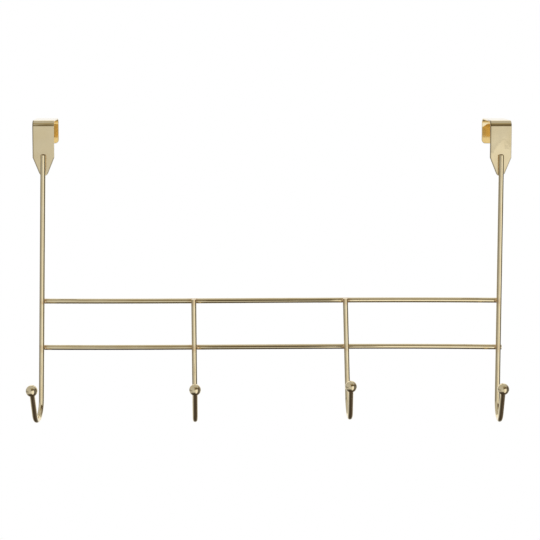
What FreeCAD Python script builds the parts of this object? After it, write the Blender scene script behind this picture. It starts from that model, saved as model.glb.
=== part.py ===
import FreeCAD, Part
import math
import os

# Over door hook: a brass-coloured wire rack with four ball-ended hooks, hung on a door by two
# folded strip brackets.
# Millimetres. +X is to the viewer's right, the hooks reach towards -Y, +Z is up.
# The origin is midway between the brackets, on the door's front face, level with its top edge.

# The door that the rack goes over. Its rails rest on the door's front face.
door_thickness = 38.0
door_slack = 0.6

# Round stock: the four upright wires, the two rails and the ball ends.
wire_diameter = 4.8
rail_diameter = 4.8
ball_diameter = 10.7
end_rounding = 0.3

# Brackets: flat strip folded over the door, with a pointed front plate and a short back leg.
strip_width = 20.0
strip_thickness = 1.2
bend_outer_radius = 6.0
front_corner_drop = 33.4
front_tip_drop = 50.6
front_tip_radius = 4.5
back_leg_drop = 23.3
back_corner_radius = 3.5
strip_edge_rounding = 0.45
left_bracket_turn = 2.2
right_bracket_turn = 1.1

# Rack: evenly pitched uprights, with two rails behind them. The rails aren't quite straight: the
# heights are how far each one runs above its drop at the four uprights, from left to right.
hook_pitch = 142.5
upper_rail_drop = 168.7
rail_pitch = 44.3
upper_rail_heights = [-0.4, -0.2, 0.6, 0.4]
lower_rail_heights = [-0.4, -0.2, 0.6, 0.0]
upper_rail_overhang = 2.0
lower_rail_left_overhang = 2.0
lower_rail_right_overhang = 3.7

# Hooks: each wire turns forward and up through one bend, then leans outward to its ball.
hook_bend_drop = 93.0
hook_bend_radius = 15.0
hook_lean_out = 27.0
hook_stem_length = 29.5
ball_socket_depth = 4.0
ball_socket_clearance = 0.02

# An end wire starts part way down its bracket.
end_wire_top_drop = 30.7

# How deep a resistance weld sinks one piece into the other.
crossing_weld_sink = 0.35
bracket_weld_sink = 0.25

# The rack is bent and welded by hand, so no two uprights are alike. In millimetres and degrees:
# aside is the shift sideways at the upper rail, lean is to the right going down, turn is the
# hook's turn to the right about its own wire, lower is how much lower its bend lies, and longer
# is how much longer its stem is.
left_end = {"place": 0, "aside": -2.1, "lean": -1.15, "turn": -3.7, "lower": 0.65, "longer": -0.4}
left_hook = {"place": 1, "aside": -2.2, "lean": 0.4, "turn": 3.0, "lower": 0.05, "longer": 0.0}
right_hook = {"place": 2, "aside": -2.4, "lean": 1.7, "turn": 0.9, "lower": -1.4, "longer": 1.0}
right_end = {"place": 3, "aside": -0.8, "lean": -0.1, "turn": -2.9, "lower": 0.45, "longer": 0.6}

# How far a bracket's middle lies to the right of the top end of its wire.
left_bracket_aside = 0.0
right_bracket_aside = -0.35

# Sizes that follow from the ones above.
wire_radius = wire_diameter / 2
rail_radius = rail_diameter / 2
ball_radius = ball_diameter / 2
lower_rail_drop = upper_rail_drop + rail_pitch
rail_y = -rail_radius
wire_y = rail_y - rail_radius - wire_radius + crossing_weld_sink
plate_front_y = wire_y + wire_radius - bracket_weld_sink
bracket_reach = door_thickness + door_slack - plate_front_y
bend_inner_radius = bend_outer_radius - strip_thickness
hook_sweep = math.radians(180 - hook_lean_out)


def point(x, y, z):
    return FreeCAD.Vector(x, y, z)


def line(start, end):
    return Part.LineSegment(start, end).toShape()


def arc(start, middle, end):
    return Part.Arc(start, middle, end).toShape()


origin = point(0, 0, 0)
y_axis = point(0, 1, 0)
z_axis = point(0, 0, 1)


def crossing_height(upright):
    """Height of the upper rail's axis where an upright crosses it."""
    return upper_rail_heights[upright["place"]] - upper_rail_drop


def upright_x(upright, drop):
    """Where an upright's axis is at a distance below the door's top edge."""
    crossing = (upright["place"] - 1.5) * hook_pitch + upright["aside"]
    return crossing + math.tan(math.radians(upright["lean"])) * (drop - upper_rail_drop)


def place_upright(shape, upright):
    """Moves a shape from an upright's own frame, with its origin at the upper rail, into the rack."""
    placed = shape.copy()
    placed.rotate(origin, z_axis, upright["turn"])
    placed.rotate(origin, y_axis, -upright["lean"])
    crossing = upright_x(upright, upper_rail_drop)
    placed.translate(point(crossing, wire_y, crossing_height(upright)))
    return placed


def on_hook_bend(upright, angle):
    """A point on the hook's bend, in the upright's own frame, at an angle from the bend's start."""
    bend_height = -hook_bend_drop - upright["lower"]
    return point(
        0,
        hook_bend_radius * (math.cos(angle) - 1),
        bend_height - hook_bend_radius * math.sin(angle),
    )


def stem_length(upright):
    """Length of the hook's straight stem, from the end of the bend to the ball's centre."""
    return hook_stem_length + upright["longer"]


def along_stem(upright, distance):
    """A point on the hook's straight stem, at a distance from the end of the bend."""
    direction = point(0, -math.sin(hook_sweep), -math.cos(hook_sweep))
    return on_hook_bend(upright, hook_sweep) + direction * distance


def upright_wire(upright, top):
    """One length of round wire, from its flat top end down and round to the tip of its hook."""
    top_point = point(0, 0, top)
    bend_start = on_hook_bend(upright, 0)
    bend_end = on_hook_bend(upright, hook_sweep)
    tip = along_stem(upright, stem_length(upright) - ball_radius + ball_socket_depth)
    path = Part.Wire(
        [
            line(top_point, bend_start),
            arc(bend_start, on_hook_bend(upright, hook_sweep / 2), bend_end),
            line(bend_end, tip),
        ]
    )
    section = Part.Wire([Part.makeCircle(wire_radius, top_point, z_axis)])
    wire = path.makePipeShell([section], True, False)
    top_rim = [edge for edge in wire.Edges if edge.BoundBox.ZMin > top - end_rounding]
    return place_upright(wire.makeFillet(end_rounding, top_rim), upright)


def end_wire(upright, bracket):
    """An upright whose top end is welded to the front of a bracket, which flattens it there."""
    top = -end_wire_top_drop - crossing_height(upright)
    return upright_wire(upright, top).cut(bracket)


def ball_end(upright):
    """A turned ball with a blind socket, which the hook's tip fills to the bottom."""
    centre = along_stem(upright, stem_length(upright))
    socket_floor = along_stem(upright, stem_length(upright) - ball_radius + ball_socket_depth)
    mouth = along_stem(upright, stem_length(upright) - ball_diameter)
    socket = Part.makeCylinder(
        wire_radius + ball_socket_clearance,
        (mouth - socket_floor).Length,
        socket_floor,
        mouth - socket_floor,
    )
    ball = Part.makeSphere(ball_radius, centre, mouth - socket_floor)
    return place_upright(ball.cut(socket), upright)


def rail(drop, heights, left_overhang, right_overhang):
    """A bar across all four uprights that runs a little past the end ones and waves a little."""
    uprights = [left_end, left_hook, right_hook, right_end]
    through = [point(upright_x(u, drop), rail_y, heights[u["place"]] - drop) for u in uprights]
    through[0].x -= left_overhang
    through[-1].x += right_overhang
    curve = Part.BSplineCurve()
    curve.interpolate(through)
    axis = curve.toShape()
    along = axis.tangentAt(axis.FirstParameter)
    section = Part.Wire([Part.makeCircle(rail_radius, through[0], along)])
    bar = Part.Wire([axis]).makePipeShell([section], True, False)
    rims = [edge for edge in bar.Edges if edge.BoundBox.XLength < rail_radius]
    return bar.makeFillet(end_rounding, rims)


def strip_bend(centre_y, radius, side):
    """Foot, middle and top of one side of a bend. The side is -1 at the front and 1 at the back."""
    diagonal = radius * math.sqrt(0.5)
    return [
        point(0, centre_y + side * radius, -bend_inner_radius),
        point(0, centre_y + side * diagonal, diagonal - bend_inner_radius),
        point(0, centre_y, radius - bend_inner_radius),
    ]


def folded_strip():
    """The strip bent over the door, with both of its ends still cut square."""
    back = bracket_reach + strip_thickness
    front_foot = point(0, 0, -front_tip_drop)
    front_foot_inside = point(0, strip_thickness, -front_tip_drop)
    back_foot = point(0, back, -back_leg_drop)
    back_foot_inside = point(0, bracket_reach, -back_leg_drop)
    front_bend = strip_bend(bend_outer_radius, bend_outer_radius, -1)
    front_bend_inside = strip_bend(bend_outer_radius, bend_inner_radius, -1)
    back_bend = strip_bend(back - bend_outer_radius, bend_outer_radius, 1)
    back_bend_inside = strip_bend(back - bend_outer_radius, bend_inner_radius, 1)
    section = Part.Wire(
        [
            line(front_foot, front_bend[0]),
            arc(*front_bend),
            line(front_bend[-1], back_bend[-1]),
            arc(*reversed(back_bend)),
            line(back_bend[0], back_foot),
            line(back_foot, back_foot_inside),
            line(back_foot_inside, back_bend_inside[0]),
            arc(*back_bend_inside),
            line(back_bend_inside[-1], front_bend_inside[-1]),
            arc(*reversed(front_bend_inside)),
            line(front_bend_inside[0], front_foot_inside),
            line(front_foot_inside, front_foot),
        ]
    )
    strip = Part.Face(section).extrude(point(strip_width, 0, 0))
    strip.translate(point(-strip_width / 2, 0, 0))
    return strip


def front_tongue():
    """The front plate below its corners: two straight sides that run into a round tip."""
    half_width = strip_width / 2
    tip_centre = front_tip_radius - front_tip_drop
    fall = -front_corner_drop - tip_centre
    to_centre = math.hypot(half_width, fall)
    slope = math.atan2(half_width, fall) - math.asin(front_tip_radius / to_centre)
    touch_x = front_tip_radius * math.cos(slope)
    touch_z = tip_centre - front_tip_radius * math.sin(slope)
    left_corner = point(-half_width, 0, -front_corner_drop)
    right_corner = point(half_width, 0, -front_corner_drop)
    left_touch = point(-touch_x, 0, touch_z)
    right_touch = point(touch_x, 0, touch_z)
    outline = Part.Wire(
        [
            line(left_corner, left_touch),
            arc(left_touch, point(0, 0, -front_tip_drop), right_touch),
            line(right_touch, right_corner),
            line(right_corner, left_corner),
        ]
    )
    return Part.Face(outline).extrude(point(0, strip_thickness, 0))


def door_bracket(upright, aside, turn):
    """A folded strip, cropped to a rounded point in front, with its back leg's corners rounded."""
    square_end = Part.makeBox(
        strip_width,
        strip_thickness,
        front_tip_drop - front_corner_drop,
        point(-strip_width / 2, 0, -front_tip_drop),
    )
    strip = folded_strip().cut(square_end.cut(front_tongue()))
    leg_corners = []
    for edge in strip.Edges:
        at_leg_foot = edge.BoundBox.ZMax < end_rounding - back_leg_drop
        if at_leg_foot and edge.BoundBox.YMin > bracket_reach - end_rounding and crosses_sheet(edge):
            leg_corners.append(edge)
    strip = strip.makeFillet(back_corner_radius, leg_corners)
    rims = [edge for edge in strip.Edges if not crosses_sheet(edge) and not is_bend_line(edge)]
    strip = strip.makeFillet(strip_edge_rounding, rims)
    strip.rotate(origin, z_axis, turn)
    middle_x = upright_x(upright, end_wire_top_drop) + aside
    strip.translate(point(middle_x, plate_front_y, 0))
    return strip


def crosses_sheet(edge):
    """Whether an edge of the strip runs through its thickness."""
    return edge.Length < strip_thickness * 1.01


def is_bend_line(edge):
    """Whether an edge only marks where a flat of the strip runs into a bend."""
    return edge.BoundBox.XLength > strip_width * 0.99 and edge.BoundBox.ZMin > -bend_outer_radius


def save(shape, name):
    shape.exportStep(f"parts/{name}.step")


os.makedirs("parts", exist_ok=True)

# Each bracket has an end wire welded flat against its front plate.
left_bracket = door_bracket(left_end, left_bracket_aside, left_bracket_turn)
right_bracket = door_bracket(right_end, right_bracket_aside, right_bracket_turn)
left_end_wire = end_wire(left_end, left_bracket)
right_end_wire = end_wire(right_end, right_bracket)

# The inner hooks start level with the top of the upper rail.
left_hook_wire = upright_wire(left_hook, rail_radius)
right_hook_wire = upright_wire(right_hook, rail_radius)

# The rails run behind all four wires and are notched where the wires are welded across them.
wires = [left_end_wire, left_hook_wire, right_hook_wire, right_end_wire]
upper_rail = rail(upper_rail_drop, upper_rail_heights, upper_rail_overhang, upper_rail_overhang)
upper_rail = upper_rail.cut(wires)
lower_rail = rail(
    lower_rail_drop, lower_rail_heights, lower_rail_left_overhang, lower_rail_right_overhang
)
lower_rail = lower_rail.cut(wires)

save(left_bracket, "left_door_bracket")
save(right_bracket, "right_door_bracket")
save(left_end_wire, "left_end_wire")
save(left_hook_wire, "left_hook_wire")
save(right_hook_wire, "right_hook_wire")
save(right_end_wire, "right_end_wire")
save(upper_rail, "upper_rail")
save(lower_rail, "lower_rail")
save(ball_end(left_end), "left_end_ball")
save(ball_end(left_hook), "left_hook_ball")
save(ball_end(right_hook), "right_hook_ball")
save(ball_end(right_end), "right_end_ball")
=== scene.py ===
import math

import bmesh
import bpy
from mathutils import Matrix, Vector, noise


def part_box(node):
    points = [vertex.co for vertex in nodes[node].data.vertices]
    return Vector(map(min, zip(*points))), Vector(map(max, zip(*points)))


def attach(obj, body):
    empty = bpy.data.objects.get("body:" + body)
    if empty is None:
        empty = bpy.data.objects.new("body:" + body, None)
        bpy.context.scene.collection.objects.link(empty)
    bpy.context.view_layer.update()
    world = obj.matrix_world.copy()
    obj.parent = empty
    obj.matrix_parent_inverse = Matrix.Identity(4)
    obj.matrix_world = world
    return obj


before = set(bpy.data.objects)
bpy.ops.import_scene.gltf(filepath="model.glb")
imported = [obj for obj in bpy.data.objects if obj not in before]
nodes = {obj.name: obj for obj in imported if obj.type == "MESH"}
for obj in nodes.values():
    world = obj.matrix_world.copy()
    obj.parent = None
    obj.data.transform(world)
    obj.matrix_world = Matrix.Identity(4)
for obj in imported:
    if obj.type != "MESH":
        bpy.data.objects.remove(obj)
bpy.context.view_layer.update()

# Door brackets. Each is one piece of steel strip, folded over the door and cropped to a
# rounded point in front. It is buffed to a soft mirror and plated a pale brass colour, with
# painted shade along some edges for the dark room their rounding reflects. The plate is never dead flat,
# least of all round the right weld.
mm = 0.001
pale_brass = (0.9, 0.775, 0.51, 1)
deeper_brass = (0.875, 0.735, 0.455, 1)
# Painted shade for the rounded edges.
edge_shade_brass = (0.3, 0.25, 0.15, 1)
bracket_middle = 212.96 * mm
half_strip = 10 * mm
crop_height = -33.4 * mm
crop_slope = 0.407
front_plate_limit = 10 * mm
back_leg_limit = 35 * mm
arch_middle = 213.48 * mm
arch_height = -41.56 * mm
arch_half_width = 10.87 * mm
arch_half_height = 22.22 * mm
arch_tilt = 0.035
back_bend_limit = 33 * mm
bend_start, bend_end = -1.2 * mm, -3.4 * mm
bend_tilt = 0.7
right_leg_tilt = -0.08
corner_start = -2.3 * mm
corner_line = -140.0 * mm
corner_slope = 0.655
corner_tilt = 0.42


def new_finish(name, colour, roughness):
    finish = bpy.data.materials.new(name)
    finish.use_nodes = True
    shader = finish.node_tree.nodes["Principled BSDF"]
    shader.inputs["Metallic"].default_value = 1.0
    shader.inputs["Base Color"].default_value = colour
    shader.inputs["Roughness"].default_value = roughness
    return finish, finish.node_tree, shader


def dress(finish, *names):
    """Gives a finish to pieces of the rack."""
    for name in names:
        nodes[name].data.materials.clear()
        nodes[name].data.materials.append(finish)


def along_object(tree, scale=(1, 1, 1), shift=(0, 0, 0)):
    """The piece's own coordinates in metres, scaled and then shifted."""
    place = tree.nodes.new("ShaderNodeTexCoord")
    shaped = tree.nodes.new("ShaderNodeMapping")
    shaped.inputs["Scale"].default_value = scale
    shaped.inputs["Location"].default_value = shift
    tree.links.new(place.outputs["Object"], shaped.inputs["Vector"])
    return shaped.outputs["Vector"]


def split_up(tree, vector):
    """The X, Y and Z of a vector."""
    parts = tree.nodes.new("ShaderNodeSeparateXYZ")
    tree.links.new(vector, parts.inputs["Vector"])
    return parts.outputs["X"], parts.outputs["Y"], parts.outputs["Z"]


def mottle(tree, waves_per_metre, stretch=(1, 1, 1), detail=2.0):
    """A noise over the piece, stretched along its axes."""
    grain = tree.nodes.new("ShaderNodeTexNoise")
    grain.inputs["Scale"].default_value = waves_per_metre
    grain.inputs["Detail"].default_value = detail
    tree.links.new(along_object(tree, stretch), grain.inputs["Vector"])
    return grain


def sum_of(tree, operation, *amounts):
    """Arithmetic on plain numbers, any of which may come from a socket."""
    step = tree.nodes.new("ShaderNodeMath")
    step.operation = operation
    for socket, value in zip(step.inputs, amounts):
        if isinstance(value, (int, float)):
            socket.default_value = value
        else:
            tree.links.new(value, socket)
    return step.outputs["Value"]


def vector_of(tree, operation, first, second=None):
    """Arithmetic on a vector and a second one, or a number to scale it by."""
    step = tree.nodes.new("ShaderNodeVectorMath")
    step.operation = operation
    tree.links.new(first, step.inputs[0])
    if isinstance(second, tuple):
        step.inputs[1].default_value = second
    elif isinstance(second, float):
        step.inputs["Scale"].default_value = second
    elif second is not None:
        tree.links.new(second, step.inputs[1])
    return step.outputs["Value" if operation == "LENGTH" else "Vector"]


def ramp_from(tree, amount, stops):
    """Turns an amount into a colour by stops of position and colour."""
    ramp = tree.nodes.new("ShaderNodeValToRGB")
    elements = ramp.color_ramp.elements
    while len(elements) < len(stops):
        elements.new(0.5)
    for element, (position, colour) in zip(elements, stops):
        element.position = position
        element.color = colour
    tree.links.new(amount, ramp.inputs["Fac"])
    return ramp.outputs["Color"]


def spread(tree, amount, low, high, start=0.35, end=0.7):
    """Maps an amount between start and end to a number between low and high."""
    scale = tree.nodes.new("ShaderNodeMapRange")
    scale.inputs["From Min"].default_value = start
    scale.inputs["From Max"].default_value = end
    scale.inputs["To Min"].default_value = low
    scale.inputs["To Max"].default_value = high
    tree.links.new(amount, scale.inputs["Value"])
    return scale.outputs["Result"]


def blend_of(tree, amount, under, over):
    """Mixes two colours by an amount. Each colour may be a value or come from a socket."""
    mix = tree.nodes.new("ShaderNodeMix")
    mix.data_type = "RGBA"
    tree.links.new(amount, mix.inputs["Factor"])
    for socket, colour in ((mix.inputs[6], under), (mix.inputs[7], over)):
        if isinstance(colour, tuple):
            socket.default_value = colour
        else:
            tree.links.new(colour, socket)
    return mix.outputs[2]


def cloudy_plating(tree, waves_per_metre):
    """Brass plating that is a little deeper here and there."""
    clouds = mottle(tree, waves_per_metre, detail=4.0).outputs["Fac"]
    return ramp_from(tree, clouds, ((0.35, deeper_brass), (0.65, pale_brass)))


def rub(tree, shader, waves_per_metre, low, high, stretch=(1, 1, 1)):
    """Makes the surface uneven in its roughness, between low and high."""
    rubbed = mottle(tree, waves_per_metre, stretch, 5.0).outputs["Fac"]
    tree.links.new(spread(tree, rubbed, low, high), shader.inputs["Roughness"])


def as_made(tree):
    """The surface's own direction."""
    return tree.nodes.new("ShaderNodeNewGeometry").outputs["Normal"]


def hand_buffed(tree, direction, waves_per_metre, amount):
    """Tips the surface's direction gently this way and that."""
    waves = mottle(tree, waves_per_metre, detail=1.0)
    centred = vector_of(tree, "SUBTRACT", waves.outputs["Color"], (0.5, 0.5, 0.5))
    small = vector_of(tree, "SCALE", centred, amount)
    return vector_of(tree, "NORMALIZE", vector_of(tree, "ADD", direction, small))


def raised(tree, height, distance, direction):
    """Fine relief on top of the surface's direction."""
    relief = tree.nodes.new("ShaderNodeBump")
    relief.inputs["Strength"].default_value = 1.0
    relief.inputs["Distance"].default_value = distance
    tree.links.new(height, relief.inputs["Height"])
    tree.links.new(direction, relief.inputs["Normal"])
    return relief.outputs["Normal"]


strip_finish, tree, shader = new_finish("polished_strip", pale_brass, 0.1)
x_place, y_place, z_place = split_up(tree, along_object(tree))
on_right = sum_of(tree, "GREATER_THAN", x_place, 0.0)

# Painted shade on the edges, for the dark room their rounding reflects: both sides of each point, and the
# left side of each front plate.
from_middle = sum_of(tree, "SUBTRACT", sum_of(tree, "ABSOLUTE", x_place), bracket_middle)
below_crop = sum_of(tree, "MAXIMUM", sum_of(tree, "MULTIPLY_ADD", z_place, -1.0, crop_height), 0.0)
half_width = sum_of(tree, "MULTIPLY_ADD", below_crop, -crop_slope, half_strip)
to_rim = sum_of(tree, "SUBTRACT", half_width, sum_of(tree, "ABSOLUTE", from_middle))
outside = sum_of(tree, "GREATER_THAN", from_middle, 0.0)
left_of_plate = sum_of(tree, "ABSOLUTE", sum_of(tree, "SUBTRACT", on_right, outside))
in_front = sum_of(tree, "LESS_THAN", y_place, front_plate_limit)
left_side = sum_of(tree, "MULTIPLY", left_of_plate, in_front)
painted_edge_shade = sum_of(tree, "MAXIMUM", left_side, sum_of(tree, "GREATER_THAN", below_crop, 0.0))
edge_shade = sum_of(tree, "MULTIPLY", painted_edge_shade, spread(tree, to_rim, 0.95, 0.0, 0.2 * mm, 1.3 * mm))
tree.links.new(blend_of(tree, edge_shade, cloudy_plating(tree, 60), edge_shade_brass), shader.inputs["Base Color"])
rub(tree, shader, 220, 0.04, 0.09, (1, 1, 0.2))

# The right plate is pulled hollow in an arch round its weld.
arch_scale = (1 / arch_half_width, 0, 1 / arch_half_height)
arch_shift = (-arch_middle / arch_half_width, 0, -arch_height / arch_half_height)
from_weld = vector_of(tree, "LENGTH", along_object(tree, arch_scale, arch_shift))
ragged = spread(tree, mottle(tree, 130).outputs["Fac"], -0.2, 0.2)
arch = spread(tree, sum_of(tree, "ADD", from_weld, ragged), 1.0, 0.0, 0.92, 1.06)
hollow = sum_of(tree, "MULTIPLY", arch, arch_tilt)

# The back bends are not quite round inside: they lean out under the top plate.
facing_front = sum_of(tree, "LESS_THAN", split_up(tree, as_made(tree))[1], 0.0)
at_back = sum_of(tree, "GREATER_THAN", y_place, back_bend_limit)
under_top = spread(tree, z_place, 0.0, bend_tilt, -0.4 * mm, bend_start)
flat_part = sum_of(tree, "MULTIPLY", under_top, sum_of(tree, "GREATER_THAN", z_place, bend_end))
inside_bend = sum_of(tree, "MULTIPLY", facing_front, at_back)

# The right leg is twisted, and more so in its upper left corner, above a slanting line.
right_leg = sum_of(tree, "MULTIPLY", on_right, sum_of(tree, "GREATER_THAN", y_place, back_leg_limit))
slanted = sum_of(tree, "MULTIPLY_ADD", x_place, -corner_slope, z_place)
over_line = spread(tree, slanted, 0.0, 1.0, corner_line - 0.3 * mm, corner_line)
under_bend = sum_of(tree, "LESS_THAN", z_place, corner_start)
seen_part = sum_of(tree, "MULTIPLY", under_bend, facing_front)
corner = sum_of(tree, "MULTIPLY", sum_of(tree, "MULTIPLY", right_leg, over_line), seen_part)
twisted = sum_of(tree, "MULTIPLY", right_leg, right_leg_tilt)
leg_tilt = sum_of(tree, "MULTIPLY_ADD", corner, corner_tilt, twisted)

tilt = tree.nodes.new("ShaderNodeCombineXYZ")
tree.links.new(sum_of(tree, "ADD", leg_tilt, hollow), tilt.inputs["X"])
tree.links.new(sum_of(tree, "MULTIPLY", inside_bend, flat_part), tilt.inputs["Z"])
direction = vector_of(tree, "ADD", as_made(tree), tilt.outputs["Vector"])
direction = hand_buffed(tree, direction, 70, 0.05)
hairlines = mottle(tree, 1500, (1, 1, 0.02), 3.0).outputs["Fac"]
tree.links.new(raised(tree, hairlines, 0.0006 * mm, direction), shader.inputs["Normal"])

dress(strip_finish, "left_door_bracket", "right_door_bracket")

# End wires. Drawn steel wire, bent cold into a hook at the foot and flattened against the
# bracket at the head. The plating is darker and coppery where the rails were welded on.
upper_weld = -168.7 * mm
lower_weld = -213.0 * mm
heat_colour = (0.7, 0.47, 0.25, 1)


def scorched(tree, shader, away, most, start, end, patches):
    """Cloudy plating that is coppery near a weld, strongest within start and gone by end."""
    heated = spread(tree, away, most, 0.0, start, end)
    scorch = sum_of(tree, "MULTIPLY", heated, patches)
    coloured = blend_of(tree, scorch, cloudy_plating(tree, 80), heat_colour)
    tree.links.new(coloured, shader.inputs["Base Color"])


wire_finish, tree, shader = new_finish("polished_wire", pale_brass, 0.1)
height = split_up(tree, along_object(tree))[2]
from_upper = sum_of(tree, "ABSOLUTE", sum_of(tree, "SUBTRACT", height, upper_weld))
from_lower = sum_of(tree, "ABSOLUTE", sum_of(tree, "SUBTRACT", height, lower_weld))
nearest = sum_of(tree, "MINIMUM", from_upper, from_lower)
patches = spread(tree, mottle(tree, 400, detail=3.0).outputs["Fac"], 0.1, 1.0)
scorched(tree, shader, nearest, 0.75, 1.5 * mm, 4.5 * mm, patches)
rub(tree, shader, 300, 0.05, 0.1)
direction = hand_buffed(tree, as_made(tree), 45, 0.04)
drawn = mottle(tree, 900, (1, 1, 0.03), 3.0).outputs["Fac"]
tree.links.new(raised(tree, drawn, 0.001 * mm, direction), shader.inputs["Normal"])

dress(wire_finish, "left_end_wire", "right_end_wire")

# Seams between the end wires and the brackets. The wire's head is welded to the plate and
# the weld is ground back, which leaves a thin brown fillet up both sides and over the end.
# Its brown is partly the weld's own colour and partly painted contact shade and painted
# reflection of the wire in the plate, and over the head it is a darker painted shade.
wire_radius = 2.4 * mm
wire_depth = -6.85 * mm
head_height = -30.7 * mm
seam_top = head_height - 0.8 * mm
seam_foot = -47.5 * mm
seam_step = 0.4 * mm
turns_over_head = 12
fillet_width = 0.75 * mm
fillet_rise = 0.95 * mm
fillet_waver = 0.3 * mm
head_shade_brown = (0.27, 0.16, 0.065, 1)

# Weld colour, partly painted contact shade and painted reflection of the wire.
weld_and_shade_finish, tree, shader = new_finish("weld", (0.5, 0.3, 0.14, 1), 0.3)
crust = mottle(tree, 600, detail=4.0).outputs["Fac"]
weld_tones = ((0.35, (0.42, 0.25, 0.11, 1)), (0.6, (0.68, 0.42, 0.21, 1)))
# Painted shade: over the head the fillet turns a darker brown.
shade_over_head = spread(tree, split_up(tree, along_object(tree))[2], 0.0, 1.0, -31.8 * mm, -30.8 * mm)
crusted = blend_of(tree, shade_over_head, ramp_from(tree, crust, weld_tones), head_shade_brown)
tree.links.new(crusted, shader.inputs["Base Color"])
tree.links.new(spread(tree, crust, 0.22, 0.4), shader.inputs["Roughness"])
beads = mottle(tree, 1100).outputs["Fac"]
tree.links.new(raised(tree, beads, 0.05 * mm, as_made(tree)), shader.inputs["Normal"])


def middle_of(node, height):
    """Where a wire's middle is across the rack, at a height on its straight run."""
    left = nodes[node].ray_cast(Vector((-1, wire_depth, height)), Vector((1, 0, 0)))[1]
    right = nodes[node].ray_cast(Vector((1, wire_depth, height)), Vector((-1, 0, 0)))[1]
    return (left.x + right.x) / 2


def hollow_line(start, corner, end, steps=5):
    """Points on a hollow curve from one surface to another, bent towards the corner."""
    shares = [step / steps for step in range(steps + 1)]
    return [(1 - s) ** 2 * start + 2 * s * (1 - s) * corner + s * s * end for s in shares]


def skinned(name, loops, finish, closed=False):
    """A closed skin over loops of points that follow one another."""
    shape = bmesh.new()
    rows = [[shape.verts.new(point) for point in loop] for loop in loops]
    if closed:
        rows.append(rows[0])
    else:
        shape.faces.new(rows[0])
        shape.faces.new(rows[-1])
    for row, next_row in zip(rows, rows[1:]):
        for step in range(len(row)):
            shape.faces.new((row[step - 1], row[step], next_row[step], next_row[step - 1]))
    bmesh.ops.recalc_face_normals(shape, faces=shape.faces)
    mesh = bpy.data.meshes.new(name)
    shape.to_mesh(mesh)
    shape.free()
    mesh.shade_smooth()
    mesh.materials.append(finish)
    piece = bpy.data.objects.new(name, mesh)
    bpy.context.scene.collection.objects.link(piece)
    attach(piece, "root")


def on_plate(bracket, x, z, sink):
    """A point on a bracket's front plate, sunk a little into it."""
    hit = nodes[bracket].ray_cast(Vector((x, -1, z)), Vector((0, 1, 0)))[1]
    return Vector((x, hit.y + sink, z))


for side in ("left", "right"):
    wire, bracket = side + "_end_wire", side + "_door_bracket"
    head_middle = middle_of(wire, head_height - 3 * mm)
    foot_middle = middle_of(wire, seam_foot)

    # Up the left side, over the head and down the right side. The fillet starts thin.
    up = []
    straight = round((seam_top - seam_foot) / seam_step)
    for step in range(straight + 1):
        share = step / straight
        x = foot_middle + share * (head_middle - foot_middle)
        z = seam_foot + share * (seam_top - seam_foot)
        up.append((x, z, math.pi, min(1, share * 4 + 0.3)))
    turns = [math.pi * (1 - step / turns_over_head) for step in range(1, turns_over_head)]
    over = [(head_middle, seam_top, turn, 1) for turn in turns]
    down = [(x, z, 0.0, fullness) for x, z, turn, fullness in reversed(up)]
    loops = []
    for x, z, turn, fullness in up + over + down:
        across, along = math.cos(turn), math.sin(turn)
        waver = noise.noise(Vector((x, turn * mm, z)) * 450) * fillet_waver
        reach = wire_radius + (fillet_width + waver) * fullness
        rise = (fillet_rise + waver) * fullness
        grip = wire_radius * (0.93 if turn in (0.0, math.pi) else 0.45)
        foot = on_plate(bracket, x + across * reach, z + along * reach * 0.5, 0.06 * mm)
        corner_x, corner_z = x + across * wire_radius * 0.75, z + along * wire_radius * 0.5
        corner = on_plate(bracket, corner_x, corner_z, 0)
        root_x, root_z = x + across * wire_radius * 0.3, z + along * wire_radius * 0.1
        root = on_plate(bracket, root_x, root_z, 0.3 * mm)
        shoulder = Vector((x + across * grip, corner.y - rise, z + along * grip * 0.7))
        loops.append(hollow_line(shoulder, corner, foot) + [root])
    skinned(side + "_bracket_seam", loops, weld_and_shade_finish)

# Rails. Two long bars of the same drawn wire, laid across the backs of the uprights and
# resistance welded to them. The plating is coppery for a few millimetres at each weld.
rail_radius = 2.4 * mm
rail_depth = -2.4 * mm
between_rails = -190 * mm
wires_at_rails = (-215.85 * mm, -73.45 * mm, 68.85 * mm, 212.95 * mm)

rail_finish, tree, shader = new_finish("polished_rail", pale_brass, 0.1)
x_place, y_place, z_place = split_up(tree, along_object(tree))
nearest = 1.0
for place in wires_at_rails:
    away = sum_of(tree, "ABSOLUTE", sum_of(tree, "SUBTRACT", x_place, place))
    nearest = sum_of(tree, "MINIMUM", nearest, away)
patches = spread(tree, mottle(tree, 300, detail=3.0).outputs["Fac"], 0.0, 1.0)
scorched(tree, shader, nearest, 0.8, 2.5 * mm, 7.0 * mm, patches)
rub(tree, shader, 300, 0.04, 0.09)


def above_bar(weld_height, *waves):
    """Height over a bar's middle line, which waves a little: a cubic of the tenths of a metre."""
    tenths = sum_of(tree, "MULTIPLY", x_place, 10.0)
    line = waves[0] * mm
    for wave in waves[1:]:
        line = sum_of(tree, "MULTIPLY_ADD", line, tenths, wave * mm)
    return sum_of(tree, "SUBTRACT", sum_of(tree, "SUBTRACT", z_place, weld_height), line)


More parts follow.
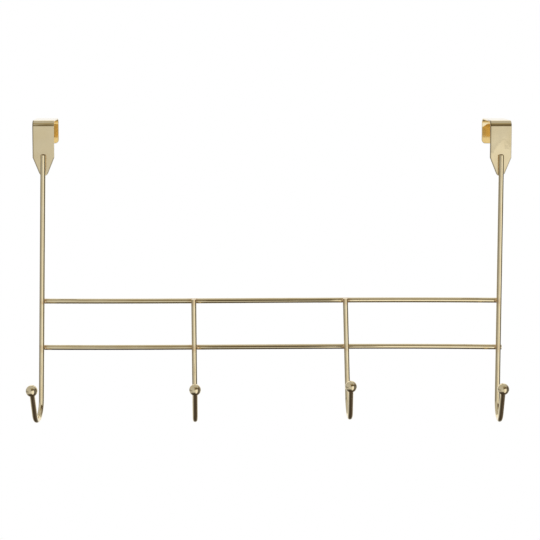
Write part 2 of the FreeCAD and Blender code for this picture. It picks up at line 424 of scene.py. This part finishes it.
# Drawn bar is truly round, so its mirror direction is worked out from its middle line.
above_upper = above_bar(upper_weld, -0.0902, -0.0527, 0.6056, 0.2375)
above_lower = above_bar(lower_weld, -0.1102, -0.0987, 0.612, 0.2573)
on_lower = sum_of(tree, "LESS_THAN", z_place, between_rails)
apart = sum_of(tree, "SUBTRACT", above_lower, above_upper)
outward = tree.nodes.new("ShaderNodeCombineXYZ")
tree.links.new(sum_of(tree, "SUBTRACT", y_place, rail_depth), outward.inputs["Y"])
tree.links.new(sum_of(tree, "MULTIPLY_ADD", on_lower, apart, above_upper), outward.inputs["Z"])
round_bar = vector_of(tree, "NORMALIZE", outward.outputs["Vector"])
endways = sum_of(tree, "ABSOLUTE", split_up(tree, as_made(tree))[0])
on_end = sum_of(tree, "GREATER_THAN", endways, 0.4)
direction = hand_buffed(tree, blend_of(tree, on_end, round_bar, as_made(tree)), 30, 0.05)
drawn = mottle(tree, 900, (0.03, 1, 1), 3.0).outputs["Fac"]
tree.links.new(raised(tree, drawn, 0.0008 * mm, direction), shader.inputs["Normal"])

dress(rail_finish, "upper_rail", "lower_rail")

# Hook wires. Shorter lengths of the same drawn steel wire, bent to the same hook, which run
# from the upper rail down in front of both rails and are welded to each.
dress(wire_finish, "left_hook_wire", "right_hook_wire")

# Crossing welds. Braze has run into the corners where a wire crosses a rail, further on one
# side than on the other. Reaches are in millimetres beyond the wire's left and right sides.
crossings = (
    ("upper_rail", "left_end_wire", 0.0, 1.9),
    ("upper_rail", "left_hook_wire", 0.3, 1.0),
    ("upper_rail", "right_hook_wire", 2.1, 1.5),
    ("upper_rail", "right_end_wire", 2.3, 0.0),
    ("lower_rail", "left_end_wire", 0.0, 2.1),
    ("lower_rail", "left_hook_wire", 0.4, 3.6),
    ("lower_rail", "right_hook_wire", 1.8, 0.5),
    ("lower_rail", "right_end_wire", 1.3, 0.7),
)
braze_loops = 12
braze_half_angle = 66
braze_start = 1.3 * mm
braze_skirt = 1.1 * mm

braze_finish, tree, shader = new_finish("braze", (0.68, 0.4, 0.2, 1), 0.25)
crust = mottle(tree, 500, detail=4.0).outputs["Fac"]
dull_copper, bright_copper, brassy = (0.6, 0.38, 0.17, 1), (0.8, 0.58, 0.33, 1), (0.88, 0.74, 0.5, 1)
braze_tones = ((0.35, dull_copper), (0.55, bright_copper), (0.7, brassy))
tree.links.new(ramp_from(tree, crust, braze_tones), shader.inputs["Base Color"])
tree.links.new(spread(tree, crust, 0.15, 0.35), shader.inputs["Roughness"])
puddles = mottle(tree, 900).outputs["Fac"]
tree.links.new(raised(tree, puddles, 0.06 * mm, as_made(tree)), shader.inputs["Normal"])

for rail, wire, left_reach, right_reach in crossings:
    rough_height = upper_weld if rail == "upper_rail" else lower_weld
    middle = middle_of(wire, rough_height - 4 * mm)
    for side_name, side, reach in (("left", -1, left_reach), ("right", 1, right_reach)):
        if not reach:
            continue
        probe = Vector((middle + side * 2.6 * mm, rail_depth, 0))
        height = nodes[rail].ray_cast(probe, Vector((0, 0, -1)))[1].z - rail_radius
        loops = []
        for step in range(braze_loops + 1):
            degrees = braze_half_angle * (2 * step / braze_loops - 1)
            angle = math.radians(degrees)
            fullness = math.cos(angle * 90 / 68) ** 0.6
            waver = noise.noise(Vector((middle, angle * 3 * mm, height + side * mm)) * 700)
            run = reach * (1 + 0.35 * waver) * mm
            up = rail_radius * math.sin(angle)
            front = rail_depth - rail_radius * math.cos(angle)
            climb = math.radians(33 + 38 * fullness)
            shoulder = Vector((
                middle + side * wire_radius * 0.98 * math.sin(climb),
                wire_depth + wire_radius * 0.98 * math.cos(climb),
                height + up * 1.1,
            ))
            corner_x = middle + side * (braze_start + 0.5 * fullness * mm)
            corner = Vector((corner_x, front - 0.05 * mm, height + up))
            foot_x = middle + side * (braze_start + fullness * (braze_skirt + run))
            foot = Vector((foot_x, front + 0.05 * mm, height + up))
            root = Vector((middle + side * 0.5 * mm, rail_depth - rail_radius * 0.8, height + up * 0.7))
            loops.append(hollow_line(shoulder, corner, foot) + [root])
        skinned(f"{rail}_{wire}_braze_{side_name}", loops, braze_finish)

# Ball ends. Turned steel balls, drilled, pushed on the hooks' tips and brazed, which leaves
# a thin reddish ring at each mouth. Each hook is turned and leant a little its own way.
ball_radius = 5.35 * mm
stem_lean = math.radians(27)
ring_steps = 36
lip_radius = 3.0 * mm
hooks = (
    ("left_end", -3.7, -1.15),
    ("left_hook", 3.0, 0.4),
    ("right_hook", 0.9, 1.7),
    ("right_end", -2.9, -0.1),
)

ball_finish, tree, shader = new_finish("polished_ball", pale_brass, 0.09)
tree.links.new(cloudy_plating(tree, 150), shader.inputs["Base Color"])
rub(tree, shader, 500, 0.03, 0.07)
direction = hand_buffed(tree, as_made(tree), 150, 0.05)
turned = mottle(tree, 1200, (0.2, 1, 1)).outputs["Fac"]
tree.links.new(raised(tree, turned, 0.001 * mm, direction), shader.inputs["Normal"])

for hook, turn, lean in hooks:
    dress(ball_finish, hook + "_ball")
    low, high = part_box(hook + "_ball")
    centre = (Vector(low) + Vector(high)) / 2
    leant = Matrix.Rotation(math.radians(-lean), 3, "Y")
    set_by_hand = leant @ Matrix.Rotation(math.radians(turn), 3, "Z")
    down_stem = set_by_hand @ Vector((0, math.sin(stem_lean), -math.cos(stem_lean)))
    across_stem = down_stem.orthogonal().normalized()
    third = down_stem.cross(across_stem)
    loops = []
    for step in range(ring_steps):
        angle = math.tau * step / ring_steps
        outward = across_stem * math.cos(angle) + third * math.sin(angle)
        waver = noise.noise((centre + outward * 2 * mm) * 900)
        lip = lip_radius + 0.35 * waver * mm
        shoulder = centre + down_stem * (5.5 + 0.5 * waver) * mm + outward * 2.37 * mm
        corner = centre + down_stem * 4.75 * mm + outward * 2.45 * mm
        foot = centre + down_stem * math.sqrt(ball_radius**2 - lip**2) * 0.99 + outward * lip * 0.99
        root = centre + down_stem * 4.4 * mm + outward * 2.3 * mm
        loops.append(hollow_line(shoulder, corner, foot, 4) + [root])
    skinned(hook + "_ball_braze", loops, braze_finish, closed=True)

# Studio. A tall white sheet hangs behind the rack and a pale floor lies far below it. The
# rest is a plain room of soft grey light, dim below and at the far sides, with one broad
# window of light in front to the right. The camera sees the bare room as white.
white_sheet = bpy.data.materials.new("white_sheet")
white_sheet.use_nodes = True
tree = white_sheet.node_tree
sheet_shader = tree.nodes["Principled BSDF"]
sheet_shader.inputs["Base Color"].default_value = (0.9, 0.9, 0.9, 1)
sheet_shader.inputs["Roughness"].default_value = 0.9
glow = tree.nodes.new("ShaderNodeEmission")
glow.inputs["Color"].default_value = (1, 1, 1, 1)
seen_by = tree.nodes.new("ShaderNodeLightPath")
mirrored = sum_of(tree, "MAXIMUM", seen_by.outputs["Is Glossy Ray"], seen_by.outputs["Is Transmission Ray"])
seen = sum_of(tree, "MAXIMUM", seen_by.outputs["Is Camera Ray"], mirrored)
plain_or_white = tree.nodes.new("ShaderNodeMixShader")
tree.links.new(seen, plain_or_white.inputs["Fac"])
tree.links.new(sheet_shader.outputs["BSDF"], plain_or_white.inputs[1])
tree.links.new(glow.outputs["Emission"], plain_or_white.inputs[2])
tree.links.new(plain_or_white.outputs["Shader"], tree.nodes["Material Output"].inputs["Surface"])


def flat_sheet(name, corners):
    mesh = bpy.data.meshes.new(name)
    mesh.from_pydata(corners, [], [(0, 1, 2, 3)])
    mesh.materials.append(white_sheet)
    sheet = bpy.data.objects.new(name, mesh)
    bpy.context.scene.collection.objects.link(sheet)


flat_sheet("backdrop", [(-1.7, 3.0, -1.2), (1.7, 3.0, -1.2), (1.7, 3.0, 3.4), (-1.7, 3.0, 3.4)])
flat_sheet("floor", [(-1.7, 1.5, -1.2), (1.7, 1.5, -1.2), (1.7, 3.0, -1.2), (-1.7, 3.0, -1.2)])

world = bpy.data.worlds.new("plain_room")
bpy.context.scene.world = world
world.use_nodes = True
tree = world.node_tree
toward = tree.nodes.new("ShaderNodeTexCoord")
to_right, to_back, to_top = split_up(tree, toward.outputs["Generated"])
bearing = sum_of(tree, "ARCTAN2", to_right, sum_of(tree, "MULTIPLY", to_back, -1.0))
bearing_share = sum_of(tree, "ADD", sum_of(tree, "DIVIDE", bearing, math.tau), 0.5)
height_share = sum_of(tree, "ADD", sum_of(tree, "MULTIPLY", to_top, 0.5), 0.5)


def tone(light):
    """A plain grey from one number, or a tint from three."""
    return (light, light, light, 1) if isinstance(light, (int, float)) else (*light, 1)


def bearings(*stops):
    """Tones by bearing in degrees: 0 is towards the viewer and 90 to the right."""
    return [((degrees + 180) / 360, tone(light)) for degrees, light in stops]


def elevations(*stops):
    """Tones by height above the horizon in degrees."""
    return [((math.sin(math.radians(degrees)) + 1) / 2, tone(light)) for degrees, light in stops]


def patch(room, left, right, low, high, light):
    """Adds a soft-edged patch to the room. Left and right are bearings, low and high elevations."""
    sideways = bearings((left[0], 0), (left[1], 1), (right[0], 1), (right[1], 0))
    upward = elevations((low[0], 0), (low[1], 1), (high[0], 1), (high[1], 0))
    across = ramp_from(tree, bearing_share, sideways)
    share = sum_of(tree, "MULTIPLY", across, ramp_from(tree, height_share, upward))
    return blend_of(tree, share, room, tone(light))


dark_floor, dim_floor = (0.058, 0.047, 0.038), (0.066, 0.053, 0.041)
floor_to_ceiling = elevations(
    (-90, dark_floor), (-62, dim_floor), (-40, 0.22), (-15, 0.45), (20, 0.55), (60, 0.5), (90, 0.52)
)
room = ramp_from(tree, height_share, floor_to_ceiling)

# A dark wall on the right, a dim ceiling, two dark beams under it, and the window.
room = patch(room, (60, 66), (118, 135), (-80, -70), (24, 50), (0.11, 0.085, 0.075))
room = patch(room, (-32, -22), (60, 72), (44, 52), (62, 74), (0.36, 0.31, 0.2))
room = patch(room, (-7.6, -6.6), (60, 66), (12, 17), (42, 50), (0.18, 0.145, 0.085))
room = patch(room, (-3.4, -2.2), (60, 66), (12, 17), (42, 50), (0.13, 0.1, 0.055))
room = patch(room, (14, 18), (54, 59), (-62, -54), (15, 19), 0.92)

# The walls at eye level, from behind the rack by the left and the front to behind it again.
left_half = ((-180, 0.35), (-110, 0.5), (-48, 0.55), (-27, 0.6), (-18, 0.68), (-10, 0.67))
front = ((3.4, 0.62), (4.4, 1.0), (9.5, 1.0), (11.5, 0.68), (13.5, 0.69), (17, 0.87))
right_half = ((22, 0.95), (26, 1.0), (54, 1.0), (60, 0.15), (105, 0.15), (135, 0.28), (180, 0.35))
walls = ramp_from(tree, bearing_share, bearings(*left_half, *front, *right_half))
at_eye_level = ramp_from(tree, height_share, elevations((-46, 0), (-32, 1), (4, 1), (8, 0)))
room = blend_of(tree, at_eye_level, room, walls)

# A dark doorway on the left, a bright gap to the camera's right, and the camera's own shape.
room = patch(room, (-165, -150), (-58, -46), (-19, -15), (-4, -1), 0.27)
room = patch(room, (3.3, 3.9), (9.8, 11), (-44, -36), (18, 24), 1.0)
room = patch(room, (-2.4, -1.6), (2.8, 3.6), (-10, -6), (34, 42), (0.09, 0.07, 0.045))
seen_by = tree.nodes.new("ShaderNodeLightPath")
shown = blend_of(tree, seen_by.outputs["Is Camera Ray"], room, (1, 1, 1, 1))
tree.links.new(shown, tree.nodes["Background"].inputs["Color"])
tree.nodes["Background"].inputs["Strength"].default_value = 1.0

# Camera. It stands a little above the rack and a little to its left, as in the photograph,
# looks slightly down and is shifted down to frame the whole rack.
camera_data = bpy.data.cameras.new("camera")
camera = bpy.data.objects.new("camera", camera_data)
bpy.context.scene.collection.objects.link(camera)
camera_data.lens = 92.73
camera_data.sensor_width = 36.0
camera_data.shift_x = 15 / 540
camera_data.shift_y = -0.20
camera.location = (-16.0 * mm, wire_depth - 1288.66 * mm, 77.66 * mm)
camera.rotation_euler = (math.radians(90 - 5.094), 0, 0)
bpy.context.scene.camera = camera

bpy.context.scene.view_settings.view_transform = "Standard"
